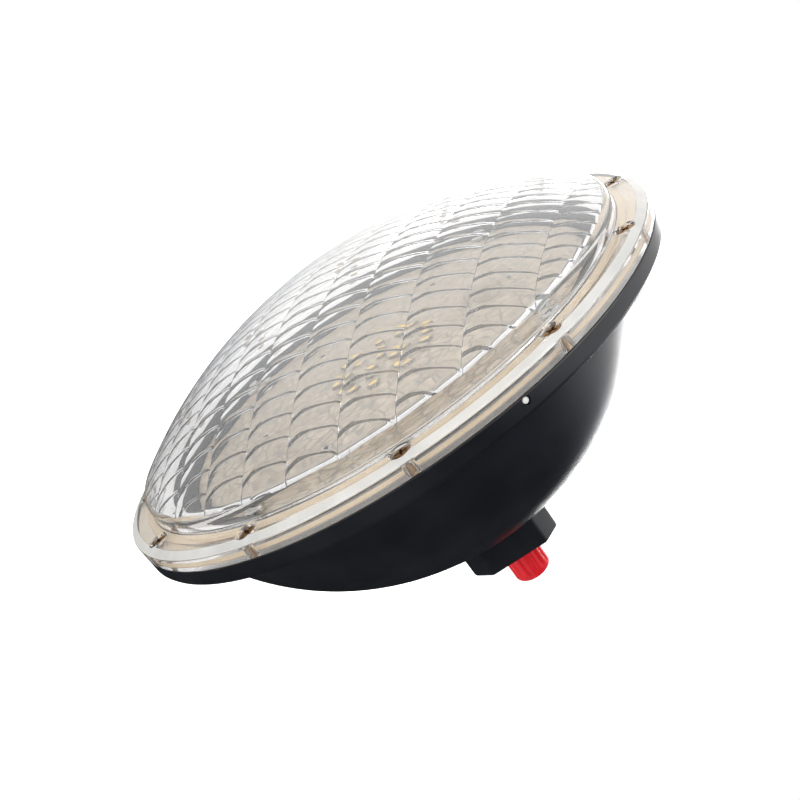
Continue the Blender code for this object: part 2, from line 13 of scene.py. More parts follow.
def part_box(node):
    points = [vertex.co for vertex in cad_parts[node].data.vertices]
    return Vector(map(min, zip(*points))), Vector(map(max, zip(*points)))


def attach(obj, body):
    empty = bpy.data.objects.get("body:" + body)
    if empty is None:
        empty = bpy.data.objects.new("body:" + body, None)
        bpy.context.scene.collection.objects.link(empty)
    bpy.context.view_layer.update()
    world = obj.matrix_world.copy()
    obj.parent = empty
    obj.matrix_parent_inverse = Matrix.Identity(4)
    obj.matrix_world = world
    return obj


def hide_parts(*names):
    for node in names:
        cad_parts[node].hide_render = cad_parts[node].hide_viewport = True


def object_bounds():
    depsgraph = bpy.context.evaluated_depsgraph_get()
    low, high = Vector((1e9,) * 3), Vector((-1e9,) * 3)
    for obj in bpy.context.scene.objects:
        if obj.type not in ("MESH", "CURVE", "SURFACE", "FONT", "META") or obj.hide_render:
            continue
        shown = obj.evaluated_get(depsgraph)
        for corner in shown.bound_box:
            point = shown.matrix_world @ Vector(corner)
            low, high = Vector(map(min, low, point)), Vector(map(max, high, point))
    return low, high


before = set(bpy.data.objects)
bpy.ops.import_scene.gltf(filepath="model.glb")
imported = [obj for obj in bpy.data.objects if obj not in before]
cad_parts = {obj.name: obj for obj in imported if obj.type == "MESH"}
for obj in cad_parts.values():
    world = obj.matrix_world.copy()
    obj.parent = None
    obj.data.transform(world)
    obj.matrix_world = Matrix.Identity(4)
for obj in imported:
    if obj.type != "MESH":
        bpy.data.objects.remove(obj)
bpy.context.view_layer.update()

MM = 0.001
LAMP = Matrix.Rotation(radians(90.0), 4, "X") @ Matrix.Scale(MM, 4)
GAP = 0.3                 # air between two pieces of the frame that touch


def reach(node, axis, side):
    """One side of a node's box in millimetres: axis 0 right, 1 back, 2 up; side 0 low, 1 high."""
    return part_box(node)[side][axis] / MM


# Driving sizes, read from the frame
RIM_RADIUS = reach("front_lens", 0, 1)
LENS_APEX = -reach("front_lens", 1, 0)
FLANGE_BOTTOM = -reach("front_lens", 1, 1)
RIM_HEIGHT = -reach("rear_housing", 1, 0)
BOWL_SEAT = -reach("rear_housing", 1, 1)
GASKET_OUTER = reach("lens_gasket", 0, 1)
GASKET_BOTTOM = -reach("lens_gasket", 1, 1)
BOARD_RADIUS = reach("led_board", 0, 1)
BOARD_TOP = -reach("led_board", 1, 0)
BOARD_BOTTOM = -reach("led_board", 1, 1)
BLOCK_HALF = reach("connector_block", 0, 1)
BLOCK_TOP = -reach("connector_block", 1, 0)
BLOCK_END = -reach("connector_block", 1, 1)
SHELL_TOP = -reach("connector_shell", 1, 0)
SHELL_END = -reach("connector_shell", 1, 1)
CAP_RADIUS = reach("protective_cap", 0, 1)
CAP_TIP = -reach("protective_cap", 1, 1)

# Lens
LENS_SPHERE = 151.5       # radius of the dome's outer skin
LENS_CENTRE = LENS_APEX - LENS_SPHERE
LENS_FOOT = 80.4          # radius where the dome's shoulder meets the flange
SHOULDER = 4.0
LENS_WALL = 3.0
FLANGE_TOP = 10.4
FLANGE_EDGE_TOP = 9.2
BEVEL_START = 86.3
SCREW_COUNT = 12
SCREW_CIRCLE = 84.0
POCKET_RADIUS = 2.85
POCKET_FLOOR = 8.0

# Moulded cells inside the dome, in columns: u runs across a column and v along it
CELL_WIDTH = 14.0         # one cell along u
CELL_LENGTH = 5.85        # one cell along v
CELL_TURN = radians(60.0)  # from the lamp's x axis to u
CELL_SHIFT = (-1.2, 2.05)  # a cell's corner, in u and v
CELL_ARCH = 2.6           # how far a cell's arched edge stands off the row line
CELL_ROWS = 8             # mesh rows along one cell
CELL_COLUMNS = (          # where the mesh's lines cross one cell, as shares of its width
    0.0, 0.02, 0.05, 0.09, 0.14, 0.2, 0.28, 0.37, 0.46, 0.55, 0.64, 0.73, 0.82, 0.9, 0.96, 0.99)
FLUTE_DEPTH = 0.2         # how far a cell is hollowed across its column
CELL_STEP = 0.2           # height of the step between two cells of a column, at mid-width
STEP_THICK = 1.0          # half the width of that sloping step, at the cell's left end
STEP_THIN = 0.28          # and at its right end

# White ring round the LED board
REFLECTOR_FOOT_INNER = 67.9
REFLECTOR_FOOT_OUTER = 70.6
REFLECTOR_RIM = 76.4
REFLECTOR_TOP = 8.6
REFLECTOR_WALL = 1.0
SHADE_BAND_INNER = 66.4    # dark band between the board and the ring: painted shade for the shadow line at the board's edge
SHADE_BAND_RISE = 3.4      # how far the dark band stands up the ring's slope

# Housing
GROOVE_INNER = 78.8
SQUEEZED_TO = 82.6        # the gasket touches the lens from the groove's inner wall out to here
GROOVE_OUTER = 86.8
GROOVE_FLOOR = 3.7
LIP_INNER = 76.8
BOWL_WALL = 3.0
BOWL_CENTRE = (6.0, 21.3)
BOWL_RADIUS = 75.9
SEAT_RADIUS = 87.5
SEAT_INNER = 79.7
BOARD_SCREWS = (64.5, 4, tau / 8)   # circle radius, count and first direction
BLOCK_SCREWS = (12.4, 4, tau / 8)
LEAD_HOLE_OFFSET = 35.0

FINE = 256
MEDIUM = 96
COARSE = 40


# ---------------------------------------------------------------- shapes

def rounded(corners, steps=4):
    """Outline points from corners (r, z, fillet radius), each fillet as an arc."""
    points = []
    for i, (x, y, fillet) in enumerate(corners):
        here = Vector((x, y))
        if not fillet:
            points.append((x, y))
            continue
        before = (Vector(corners[i - 1][:2]) - here).normalized()
        after = (Vector(corners[(i + 1) % len(corners)][:2]) - here).normalized()
        half = before.angle(after) / 2
        centre = here + (before + after).normalized() * fillet / sin(half)
        start = here + before * fillet / tan(half) - centre
        stop = here + after * fillet / tan(half) - centre
        for k in range(steps + 1):
            spoke = start.lerp(stop, k / steps).normalized() * fillet
            points.append(tuple(centre + spoke))
    return points


def arc(centre, radius, start, stop, count):
    turns = [radians(start + (stop - start) * i / (count - 1)) for i in range(count)]
    return [(centre[0] + radius * cos(t), centre[1] + radius * sin(t)) for t in turns]


def outward(bm):
    """Turn the faces of a closed mesh to point outwards."""
    bmesh.ops.recalc_face_normals(bm, faces=bm.faces)
    if bm.calc_volume(signed=True) < 0.0:
        bmesh.ops.reverse_faces(bm, faces=bm.faces)
    return bm


def lathe(profile, steps=MEDIUM, place=(0.0, 0.0, 0.0), shape=None):
    """A solid of revolution. shape(radius, height, turn) may give a point another radius."""
    bm = bmesh.new()
    rings = []
    for r, z in profile:
        if r < 1e-6:
            rings.append([bm.verts.new((0.0, 0.0, z))])
            continue
        ring = []
        for i in range(steps):
            turn = tau * i / steps
            out = shape(r, z, turn) if shape else r
            ring.append(bm.verts.new((out * cos(turn), out * sin(turn), z)))
        rings.append(ring)
    if profile[0][0] > 1e-6:
        rings.append(rings[0])
    for a, b in zip(rings, rings[1:]):
        for i in range(steps):
            j = (i + 1) % steps
            quad = (a[i % len(a)], a[j % len(a)], b[j % len(b)], b[i % len(b)])
            corners = list(dict.fromkeys(quad))
            if len(corners) > 2:
                bm.faces.new(corners)
    bmesh.ops.translate(bm, verts=bm.verts, vec=Vector(place))
    return outward(bm)


def block(size, centre=(0.0, 0.0, 0.0), edge=0.0, segments=3, turn=0.0):
    """A box with rounded edges."""
    bm = bmesh.new()
    bmesh.ops.create_cube(bm, size=1.0, matrix=Matrix.Diagonal((*size, 1.0)))
    if edge:
        bmesh.ops.bevel(bm, geom=bm.edges[:], offset=edge, segments=segments, profile=0.5,
                        affect="EDGES", clamp_overlap=True)
    bm.transform(Matrix.Translation(centre) @ Matrix.Rotation(turn, 4, "Z"))
    return bm


def gathered(parts):
    """Several meshes as one."""
    whole = bmesh.new()
    for part in parts:
        mesh = bpy.data.meshes.new("part")
        part.to_mesh(mesh)
        part.free()
        whole.from_mesh(mesh)
        bpy.data.meshes.remove(mesh)
    return whole


def placed(bm, matrix):
    bm.transform(matrix)
    return bm


def combined(base, operation, *others):
    """A Boolean of closed meshes."""
    objects = []
    for bm in (base, *others):
        mesh = bpy.data.meshes.new("operand")
        bm.to_mesh(mesh)
        bm.free()
        obj = bpy.data.objects.new("operand", mesh)
        bpy.context.scene.collection.objects.link(obj)
        objects.append(obj)
    for other in objects[1:]:
        boolean = objects[0].modifiers.new(operation, "BOOLEAN")
        boolean.operation = operation
        boolean.solver = "MANIFOLD"
        boolean.object = other
    depsgraph = bpy.context.evaluated_depsgraph_get()
    mesh = bpy.data.meshes.new_from_object(objects[0].evaluated_get(depsgraph))
    result = bmesh.new()
    result.from_mesh(mesh)
    bpy.data.meshes.remove(mesh)
    for obj in objects:
        data = obj.data
        bpy.data.objects.remove(obj)
        bpy.data.meshes.remove(data)
    return result


def on_circle(radius, count, start=0.0):
    turns = [start + tau * i / count for i in range(count)]
    return [(radius * cos(t), radius * sin(t), 0.0) for t in turns]


def add(name, bm, mat, nodes=(), body="lamp", sharp=32.0):
    """Make a mesh a piece of the lamp: its finish, the CAD nodes that it stands for and its body."""
    bm.transform(LAMP)
    mesh = bpy.data.meshes.new(name)
    bm.to_mesh(mesh)
    bm.free()
    mesh.shade_smooth()
    mesh.set_sharp_from_angle(angle=radians(sharp))
    mesh.materials.append(mat)
    obj = bpy.data.objects.new(name, mesh)
    bpy.context.scene.collection.objects.link(obj)
    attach(obj, body)
    if nodes:
        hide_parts(*nodes)
    return obj


# ---------------------------------------------------------------- finishes

class Finish:
    """A material under construction: its shader and the nodes that feed it."""

    def __init__(self, name, roughness=0.4, **sockets):
        self.material = bpy.data.materials.new(name)
        self.material.use_nodes = True
        self.tree = self.material.node_tree
        self.shader = self.tree.nodes["Principled BSDF"]
        self.shader.inputs["Roughness"].default_value = roughness
        for socket, value in sockets.items():
            self.shader.inputs[socket.replace("_", " ")].default_value = value
        self.coordinates = self.tree.nodes.new("ShaderNodeTexCoord").outputs["Object"]

    def stretched(self, scale):
        mapping = self.tree.nodes.new("ShaderNodeMapping")
        mapping.inputs["Scale"].default_value = scale
        self.tree.links.new(self.coordinates, mapping.inputs["Vector"])
        return mapping.outputs["Vector"]

    def noise(self, size, detail=3.0, vector=None):
        node = self.tree.nodes.new("ShaderNodeTexNoise")
        node.inputs["Scale"].default_value = 1.0 / (size * MM)
        node.inputs["Detail"].default_value = detail
        self.tree.links.new(vector or self.coordinates, node.inputs["Vector"])
        return node.outputs["Fac"]

    def cell_edges(self, size):
        """Distance to the nearest border of irregular cells."""
        node = self.tree.nodes.new("ShaderNodeTexVoronoi")
        node.feature = "DISTANCE_TO_EDGE"
        node.inputs["Scale"].default_value = 1.0 / (size * MM)
        self.tree.links.new(self.coordinates, node.inputs["Vector"])
        return node.outputs["Distance"]

    def ranged(self, value, low, high, start=0.3, stop=0.7):
        node = self.tree.nodes.new("ShaderNodeMapRange")
        node.inputs["From Min"].default_value = start
        node.inputs["From Max"].default_value = stop
        node.inputs["To Min"].default_value = low
        node.inputs["To Max"].default_value = high
        self.tree.links.new(value, node.inputs["Value"])
        return node.outputs["Result"]

    def colour(self, value, first, second, start=0.3, stop=0.7):
        ramp = self.tree.nodes.new("ShaderNodeValToRGB")
        ramp.color_ramp.elements[0].position = start
        ramp.color_ramp.elements[0].color = (*first, 1.0)
        ramp.color_ramp.elements[1].position = stop
        ramp.color_ramp.elements[1].color = (*second, 1.0)
        self.tree.links.new(value, ramp.inputs["Fac"])
        self.tree.links.new(ramp.outputs["Color"], self.shader.inputs["Base Color"])

    def rough(self, value, low, high):
        self.tree.links.new(self.ranged(value, low, high), self.shader.inputs["Roughness"])

    def bumped(self, value, depth):
        bump = self.tree.nodes.new("ShaderNodeBump")
        bump.inputs["Distance"].default_value = depth * MM
        self.tree.links.new(value, bump.inputs["Height"])
        self.tree.links.new(bump.outputs["Normal"], self.shader.inputs["Normal"])

    def lets_light_through(self):
        """Shadow and diffuse rays pass straight, so that what lies behind the glass is lit."""
        path = self.tree.nodes.new("ShaderNodeLightPath")
        clear = self.tree.nodes.new("ShaderNodeBsdfTransparent").outputs["BSDF"]
        surface = self.shader.outputs["BSDF"]
        for ray in ("Is Diffuse Ray", "Is Shadow Ray"):
            mix = self.tree.nodes.new("ShaderNodeMixShader")
            self.tree.links.new(path.outputs[ray], mix.inputs["Fac"])
            self.tree.links.new(surface, mix.inputs[1])
            self.tree.links.new(clear, mix.inputs[2])
            surface = mix.outputs["Shader"]
        self.tree.links.new(surface, self.tree.nodes["Material Output"].inputs["Surface"])


def moulded(name, first, second, roughness=(0.3, 0.42), grain=0.5, depth=0.012, blotch=9.0, **sockets):
    """Moulded plastic or rubber: slow colour drift, fine grain and uneven gloss."""
    f = Finish(name, **sockets)
    f.colour(f.noise(blotch, 4.0), first, second)
    f.rough(f.noise(blotch / 3.0, 5.0), *roughness)
    f.bumped(f.noise(grain, 2.0), depth)
    return f.material


def metal(name, first, second, roughness=(0.22, 0.4), brushed=(1.0, 1.0, 1.0), size=0.8, depth=0.01):
    """Machined or plated metal: fine tool marks, stretched along one direction, and dull patches."""
    f = Finish(name, Metallic=1.0)
    vector = f.stretched(brushed)
    f.colour(f.noise(size * 6.0, 4.0), first, second)
    f.rough(f.noise(size * 3.0, 5.0, vector), *roughness)
    f.bumped(f.noise(size, 4.0, vector), depth)
    return f.material


def clear_plastic(name):
    """Clear polycarbonate: slightly milky, with slow flow waves and a few dull specks."""
    f = Finish(name, Transmission_Weight=0.965, IOR=1.586)
    f.colour(f.noise(30.0), (0.965, 0.972, 0.965), (0.985, 0.985, 0.98))
    f.rough(f.noise(11.0, 6.0), 0.0, 0.02)
    f.bumped(f.noise(20.0, 1.0), 0.004)
    f.lets_light_through()
    return f.material


def step_painted_shade_plastic(name):
    """The steps between the lens's cells: the same plastic, a little dulled, with painted shade: a dark
    tint standing in for the dark lines that the clear steps show.
    """
    f = Finish(name, Transmission_Weight=1.0, IOR=1.586)
    f.colour(f.noise(6.0), (0.04, 0.034, 0.027), (0.1, 0.088, 0.072))
    f.rough(f.noise(1.5, 4.0), 0.15, 0.3)
    f.lets_light_through()
    return f.material


def bevel_painted_highlight_plastic(name):
    """The flange's turned bevel: the same plastic, dulled and whitened as a painted highlight, standing
    in for the bright band of light along the bevel.
    """
    f = Finish(name, Transmission_Weight=0.3, IOR=1.586)
    f.colour(f.noise(9.0, 4.0), (0.56, 0.56, 0.54), (0.68, 0.68, 0.66))
    f.rough(f.noise(3.0, 4.0), 0.35, 0.55)
    return f.material


def phosphor(name):
    """Yellow phosphor in silicone: granular, with a glossy skin."""
    f = Finish(name, roughness=0.35, Coat_Weight=0.6, Coat_Roughness=0.1)
    f.colour(f.noise(0.25, 3.0), (0.55, 0.34, 0.05), (0.72, 0.5, 0.12))
    f.bumped(f.noise(0.2, 2.0), 0.02)
    return f.material


def printed_board(name, first, second, trace, roughness=(0.3, 0.45)):
    """Solder mask over copper: the tracks show as slightly raised, slightly different bands."""
    f = Finish(name)
    tracks = f.ranged(f.cell_edges(6.0), 1.0, 0.0, 0.04, 0.07)
    mask = f.noise(3.0, 5.0)
    f.colour(mask, first, second)
    mix = f.tree.nodes.new("ShaderNodeMix")
    mix.data_type = "RGBA"
    f.tree.links.new(tracks, mix.inputs["Factor"])
    f.tree.links.new(f.shader.inputs["Base Color"].links[0].from_socket, mix.inputs[6])
    mix.inputs[7].default_value = (*trace, 1.0)
    f.tree.links.new(mix.outputs[2], f.shader.inputs["Base Color"])
    f.rough(f.noise(2.0, 4.0), *roughness)
    f.bumped(tracks, 0.03)
    return f.material


def winding(name):
    """Enamelled copper wire laid turn beside turn."""
    f = Finish(name, Metallic=1.0)
    wave = f.tree.nodes.new("ShaderNodeTexWave")
    wave.bands_direction = "Y"
    wave.inputs["Scale"].default_value = 1.0 / (2.5 * MM)
    wave.inputs["Distortion"].default_value = 0.4
    f.tree.links.new(f.coordinates, wave.inputs["Vector"])
    f.colour(wave.outputs["Fac"], (0.25, 0.06, 0.015), (0.72, 0.26, 0.08), 0.1, 0.8)
    f.rough(f.noise(1.0), 0.22, 0.36)
    f.bumped(wave.outputs["Fac"], 0.15)
    return f.material


def make_finishes():
    return {
        "clear": clear_plastic("clear_polycarbonate"),
        # The steps' dark tint is painted shade, not a colour of the plastic.
        "step_shade": step_painted_shade_plastic("steps_painted_shade"),
        # The bevel's pale colour is a painted highlight.
        "satin": bevel_painted_highlight_plastic("bevel_painted_highlight"),
        "housing": moulded("satin_black_plastic", (0.007, 0.008, 0.011), (0.013, 0.015, 0.02),
                           roughness=(0.28, 0.34), grain=1.6, depth=0.006, blotch=16.0),
        "black": moulded("black_component", (0.012, 0.012, 0.013), (0.03, 0.03, 0.032),
                         roughness=(0.45, 0.6), grain=0.2),
        "rubber": moulded("black_rubber", (0.012, 0.012, 0.012), (0.03, 0.03, 0.03),
                          roughness=(0.6, 0.8), grain=0.3, depth=0.02),
        "silicone": moulded("tan_silicone", (0.5, 0.4, 0.28), (0.6, 0.49, 0.36),
                            roughness=(0.45, 0.65), grain=0.5, depth=0.015, blotch=14.0),
        "reflector": moulded("pearl_reflector", (0.62, 0.61, 0.61), (0.72, 0.71, 0.71),
                             roughness=(0.25, 0.4), grain=0.4, blotch=12.0),
        "white": moulded("white_plastic", (0.78, 0.78, 0.75), (0.86, 0.86, 0.84),
                         roughness=(0.3, 0.45), grain=0.3, blotch=3.0),
        # LED bodies are white; this colour is darkened like the board's, painted shade for the dim light
        # inside the housing. The sealant blob uses it too.
        "ceramic": moulded("led_package", (0.25, 0.215, 0.165), (0.32, 0.275, 0.215),
                           roughness=(0.35, 0.5), grain=0.4, blotch=2.0),
        # The board's mask is white; its warm tan here is darkened well below white, painted shade for
        # the dim light inside the housing.
        "board": printed_board("white_solder_mask", (0.235, 0.185, 0.13), (0.43, 0.36, 0.275),
                               (0.2, 0.175, 0.14)),
        "green": printed_board("green_solder_mask", (0.012, 0.11, 0.04), (0.03, 0.2, 0.08),
                               (0.05, 0.28, 0.1)),
        "phosphor": phosphor("yellow_phosphor"),
        "pad": moulded("gap_filler", (0.32, 0.35, 0.4), (0.45, 0.47, 0.5), roughness=(0.7, 0.9),
                       grain=0.6, depth=0.05),
        "aluminium": metal("turned_aluminium", (0.62, 0.63, 0.64), (0.78, 0.78, 0.79),
                           brushed=(1.0, 1.0, 6.0)),
        "steel": metal("stainless_steel", (0.5, 0.5, 0.48), (0.7, 0.69, 0.66), size=0.5),
        "bronze": metal("passivated_screws", (0.2, 0.1, 0.035), (0.42, 0.24, 0.1),
                        roughness=(0.25, 0.45), size=0.5),
        "brass": metal("turned_brass", (0.6, 0.42, 0.14), (0.75, 0.56, 0.24), brushed=(1.0, 5.0, 1.0)),
        "nickel": metal("nickel_plate", (0.55, 0.53, 0.49), (0.74, 0.72, 0.68), (0.15, 0.3), size=0.7),
        "gold": metal("gold_plate", (0.8, 0.55, 0.18), (0.95, 0.72, 0.32), (0.15, 0.3), size=0.4),
        "solder": metal("solder", (0.5, 0.5, 0.5), (0.75, 0.75, 0.74), (0.2, 0.4), size=0.3),
        "copper": winding("copper_winding"),
        "sleeve": moulded("capacitor_sleeve", (0.01, 0.02, 0.07), (0.03, 0.05, 0.13),
                          roughness=(0.2, 0.35), grain=1.2, depth=0.03),
        "ferrite": moulded("ferrite", (0.03, 0.03, 0.032), (0.09, 0.09, 0.095), roughness=(0.45, 0.7),
                           grain=0.25, depth=0.04),
        "glassy": moulded("fuse_glass", (0.6, 0.66, 0.66), (0.8, 0.84, 0.84), roughness=(0.03, 0.1),
                          grain=2.0, Transmission_Weight=0.9),
        "red": moulded("red_cap_plastic", (0.58, 0.004, 0.01), (0.7, 0.007, 0.016),
                       roughness=(0.42, 0.55), grain=0.4, blotch=5.0, Specular_IOR_Level=0.25),
        "red_wire": moulded("red_insulation", (0.5, 0.01, 0.01), (0.68, 0.03, 0.03), grain=0.8),
        "black_wire": moulded("black_insulation", (0.012, 0.012, 0.012), (0.03, 0.03, 0.03), grain=0.8),
    }


# ---------------------------------------------------------------- lens

def shoulder_arc(depth, steps):
    """Outline of the dome and its shoulder at a depth below the outer skin."""
    centre = (0.0, LENS_CENTRE)
    inner = LENS_FOOT - SHOULDER
    span = LENS_SPHERE - SHOULDER
    fillet = (inner, centre[1] + sqrt(span ** 2 - inner ** 2))
    meeting = degrees(asin((fillet[1] - centre[1]) / span))
    dome = arc(centre, LENS_SPHERE - depth, 90.0, meeting, steps)
    dome[0] = (0.0, centre[1] + LENS_SPHERE - depth)
    return dome[:-1] + arc(fillet, SHOULDER - depth, meeting, 0.0, 8)


def arch(f):
    """A cell's upper edge over its width: it rises fast at the left and ends in a small drop."""
    rise, drop = 0.8, 0.86
    return 1.0 - max(1.0 - f / rise, 0.0) ** 4 - 0.2 * max((f - drop) / (1.0 - drop), 0.0) ** 2


def step_half_width(f):
    """Half the width of the sloping step above a cell: a crescent, thick at the cell's left end."""
    return STEP_THIN + (STEP_THICK - STEP_THIN) * (1.0 - f) ** 3


def cell_ceiling():
    """The moulded inside of the dome, as a block whose top carries rows of arched, stepped cells."""
    columns = int(LENS_FOOT / CELL_WIDTH) + 2
    rows = int(LENS_FOOT / CELL_LENGTH) + 2
    us = []
    for i in range(-columns, columns):
        for f in CELL_COLUMNS:
            us.append(((i + f) * CELL_WIDTH, CELL_ARCH * arch(f), 4.0 * FLUTE_DEPTH * f * (1.0 - f),
                       CELL_STEP * (1.5 - f), step_half_width(f)))
    vs = []
    for j in range(-rows, rows):
        for k in range(CELL_ROWS + 1):
            f = k / CELL_ROWS
            inward = 1.0 if k == 0 else -1.0 if k == CELL_ROWS else 0.0
            vs.append(((j + f) * CELL_LENGTH, inward, 0.5 - (1.0 - f) ** 2))
    bm = bmesh.new()
    inner = LENS_SPHERE - LENS_WALL
    grid = []
    for u, rise, flute, step, half_width in us:
        line = []
        for v, inward, wedge in vs:
            x, y = u + CELL_SHIFT[0], v + rise + inward * half_width + CELL_SHIFT[1]
            base = LENS_CENTRE + sqrt(max(inner ** 2 - x * x - y * y, 1.0))
            line.append(bm.verts.new((x, y, base + flute - FLUTE_DEPTH / 2 + step * wedge)))
        grid.append(line)
    for a, b in zip(grid, grid[1:]):
        for i in range(len(a) - 1):
            bm.faces.new((a[i], b[i], b[i + 1], a[i + 1]))
    rim = grid[0][:-1] + [line[-1] for line in grid[:-1]] + grid[-1][:0:-1] + [
        line[0] for line in grid[:0:-1]]
    low = [bm.verts.new((v.co.x, v.co.y, 0.0)) for v in rim]
    for i in range(len(rim)):
        j = (i + 1) % len(rim)
        bm.faces.new((rim[i], rim[j], low[j], low[i]))
    bm.faces.new(low)
    return placed(outward(bm), Matrix.Rotation(CELL_TURN, 4, "Z"))


def on_step(x, y):
    """Whether a point of the lens's inside lies on the step between two cells of a column."""
    u, v = (cos(CELL_TURN) * x + sin(CELL_TURN) * y - CELL_SHIFT[0],
            cos(CELL_TURN) * y - sin(CELL_TURN) * x - CELL_SHIFT[1])
    f = u / CELL_WIDTH % 1.0
    row = (v - CELL_ARCH * arch(f)) / CELL_LENGTH
    return abs(row - round(row)) * CELL_LENGTH < step_half_width(f) + 0.05


def make_lens(finishes):
    outer = shoulder_arc(0.0, 60)[:-1]
    outer += rounded([(LENS_FOOT, FLANGE_TOP + 2.6, 0.0), (LENS_FOOT, FLANGE_TOP, 0.6),
                      (BEVEL_START, FLANGE_TOP, 0.25), (RIM_RADIUS, FLANGE_EDGE_TOP, 0.3),
                      (RIM_RADIUS, FLANGE_BOTTOM, 0.2), (0.0, FLANGE_BOTTOM, 0.0)])
    blank = lathe(outer, FINE)
    inside = [(r, z + 0.8) for r, z in shoulder_arc(LENS_WALL, 40)]
    wall = inside[-1][0]
    envelope = lathe(inside + [(wall, FLANGE_BOTTOM - 1.0), (0.0, FLANGE_BOTTOM - 1.0)], FINE)
    cavity = combined(cell_ceiling(), "INTERSECT", envelope)
    pocket = [(0.0, POCKET_FLOOR), (POCKET_RADIUS, POCKET_FLOOR), (POCKET_RADIUS, FLANGE_TOP - 0.3),
              (POCKET_RADIUS + 0.5, FLANGE_TOP + 0.2), (POCKET_RADIUS + 0.5, FLANGE_TOP + 2.0),
              (0.0, FLANGE_TOP + 2.0)]
    hole = [(0.0, FLANGE_BOTTOM - 1.0), (1.7, FLANGE_BOTTOM - 1.0), (1.7, POCKET_FLOOR + 1.0),
            (0.0, POCKET_FLOOR + 1.0)]
    places = on_circle(SCREW_CIRCLE, SCREW_COUNT)
    pockets = gathered([lathe(pocket, COARSE, p) for p in places])
    holes = gathered([lathe(hole, COARSE, p) for p in places])
    shape = combined(blank, "DIFFERENCE", cavity, pockets, holes)
    lens = add("clear_lens", shape, finishes["clear"], ["front_lens"], sharp=24.0)
    lens.data.materials.append(finishes["step_shade"])
    lens.data.materials.append(finishes["satin"])
    for face in lens.data.polygons:
        out = hypot(face.center.x, face.center.z) / MM
        inside = face.normal.y > -0.3 and out < wall - 0.6
        # Step faces take the dark tint that paints their shade.
        if inside and on_step(face.center.x / MM, face.center.z / MM):
            face.material_index = 1
        # Bevel faces take the pale colour that paints their highlight.
        elif -0.95 < face.normal.y < -0.85 and out > BEVEL_START + 0.2:
            face.material_index = 2


# ---------------------------------------------------------------- screws

def cross_recess(width, reach_out, depth, top):
    """Cutter for a cross slot, tapered by its two bars."""
    bars = [block((2 * reach_out, width, 2 * depth), (0.0, 0.0, top), turn=a) for a in (0.0, pi / 2)]
    return bars


def screw(head_radius, top, under, shank, tip, place, turn=0.0, domed=0.35):
    """A pan-head screw with a cross recess."""
    head = rounded([(0.0, top, 0.0), (head_radius * 0.72, top, 0.5), (head_radius, top - domed, 0.25),
                    (head_radius, under, 0.12), (shank, under, 0.0), (shank, tip + shank, 0.0),
                    (0.0, tip, 0.0)])
    body = lathe(head, COARSE)
    bars = cross_recess(head_radius * 0.26, head_radius * 0.62, 0.9, top)
    core = lathe([(0.0, top + 1.0), (head_radius * 0.3, top + 1.0), (head_radius * 0.22, top - 1.0),
                  (0.0, top - 1.15)], COARSE)
    body = combined(body, "DIFFERENCE", bars[0], bars[1], core)
    return placed(body, Matrix.Translation(place) @ Matrix.Rotation(turn, 4, "Z"))


def make_lens_fixings(finishes):
    under = POCKET_FLOOR + GAP
    for i, place in enumerate(on_circle(SCREW_CIRCLE, SCREW_COUNT)):
        shape = screw(2.5, under + 1.7, under, 1.3, 1.2, place, turn=0.9 * i * i)
        name = f"lens_screw_{i + 1:02d}"
        add(f"{name}_head", shape, finishes["bronze"], [name])
    inner = GROOVE_INNER + GAP
    top = FLANGE_BOTTOM + 0.12          # squeezed against the lens, with no air between
    ring = lathe(rounded([(SQUEEZED_TO, top, 0.1), (SQUEEZED_TO, FLANGE_BOTTOM - 0.35, 0.1),
                          (GASKET_OUTER, FLANGE_BOTTOM - 0.35, 0.1), (GASKET_OUTER, GASKET_BOTTOM, 0.25),
                          (inner, GASKET_BOTTOM, 0.25), (inner, top, 0.1)]), FINE)
    hole = [(0.0, GASKET_BOTTOM - 1.0), (1.8, GASKET_BOTTOM - 1.0), (1.8, top + 1.0), (0.0, top + 1.0)]
    holes = gathered([lathe(hole, COARSE, p) for p in on_circle(SCREW_CIRCLE, SCREW_COUNT)])
    add("silicone_gasket", combined(ring, "DIFFERENCE", holes), finishes["silicone"],
        ["lens_gasket"])


# ---------------------------------------------------------------- housing

def bowl(radius, top, bottom, count):
    start, stop = (degrees(asin((z - BOWL_CENTRE[1]) / radius)) for z in (top, bottom))
    return arc(BOWL_CENTRE, radius, start, stop, count)


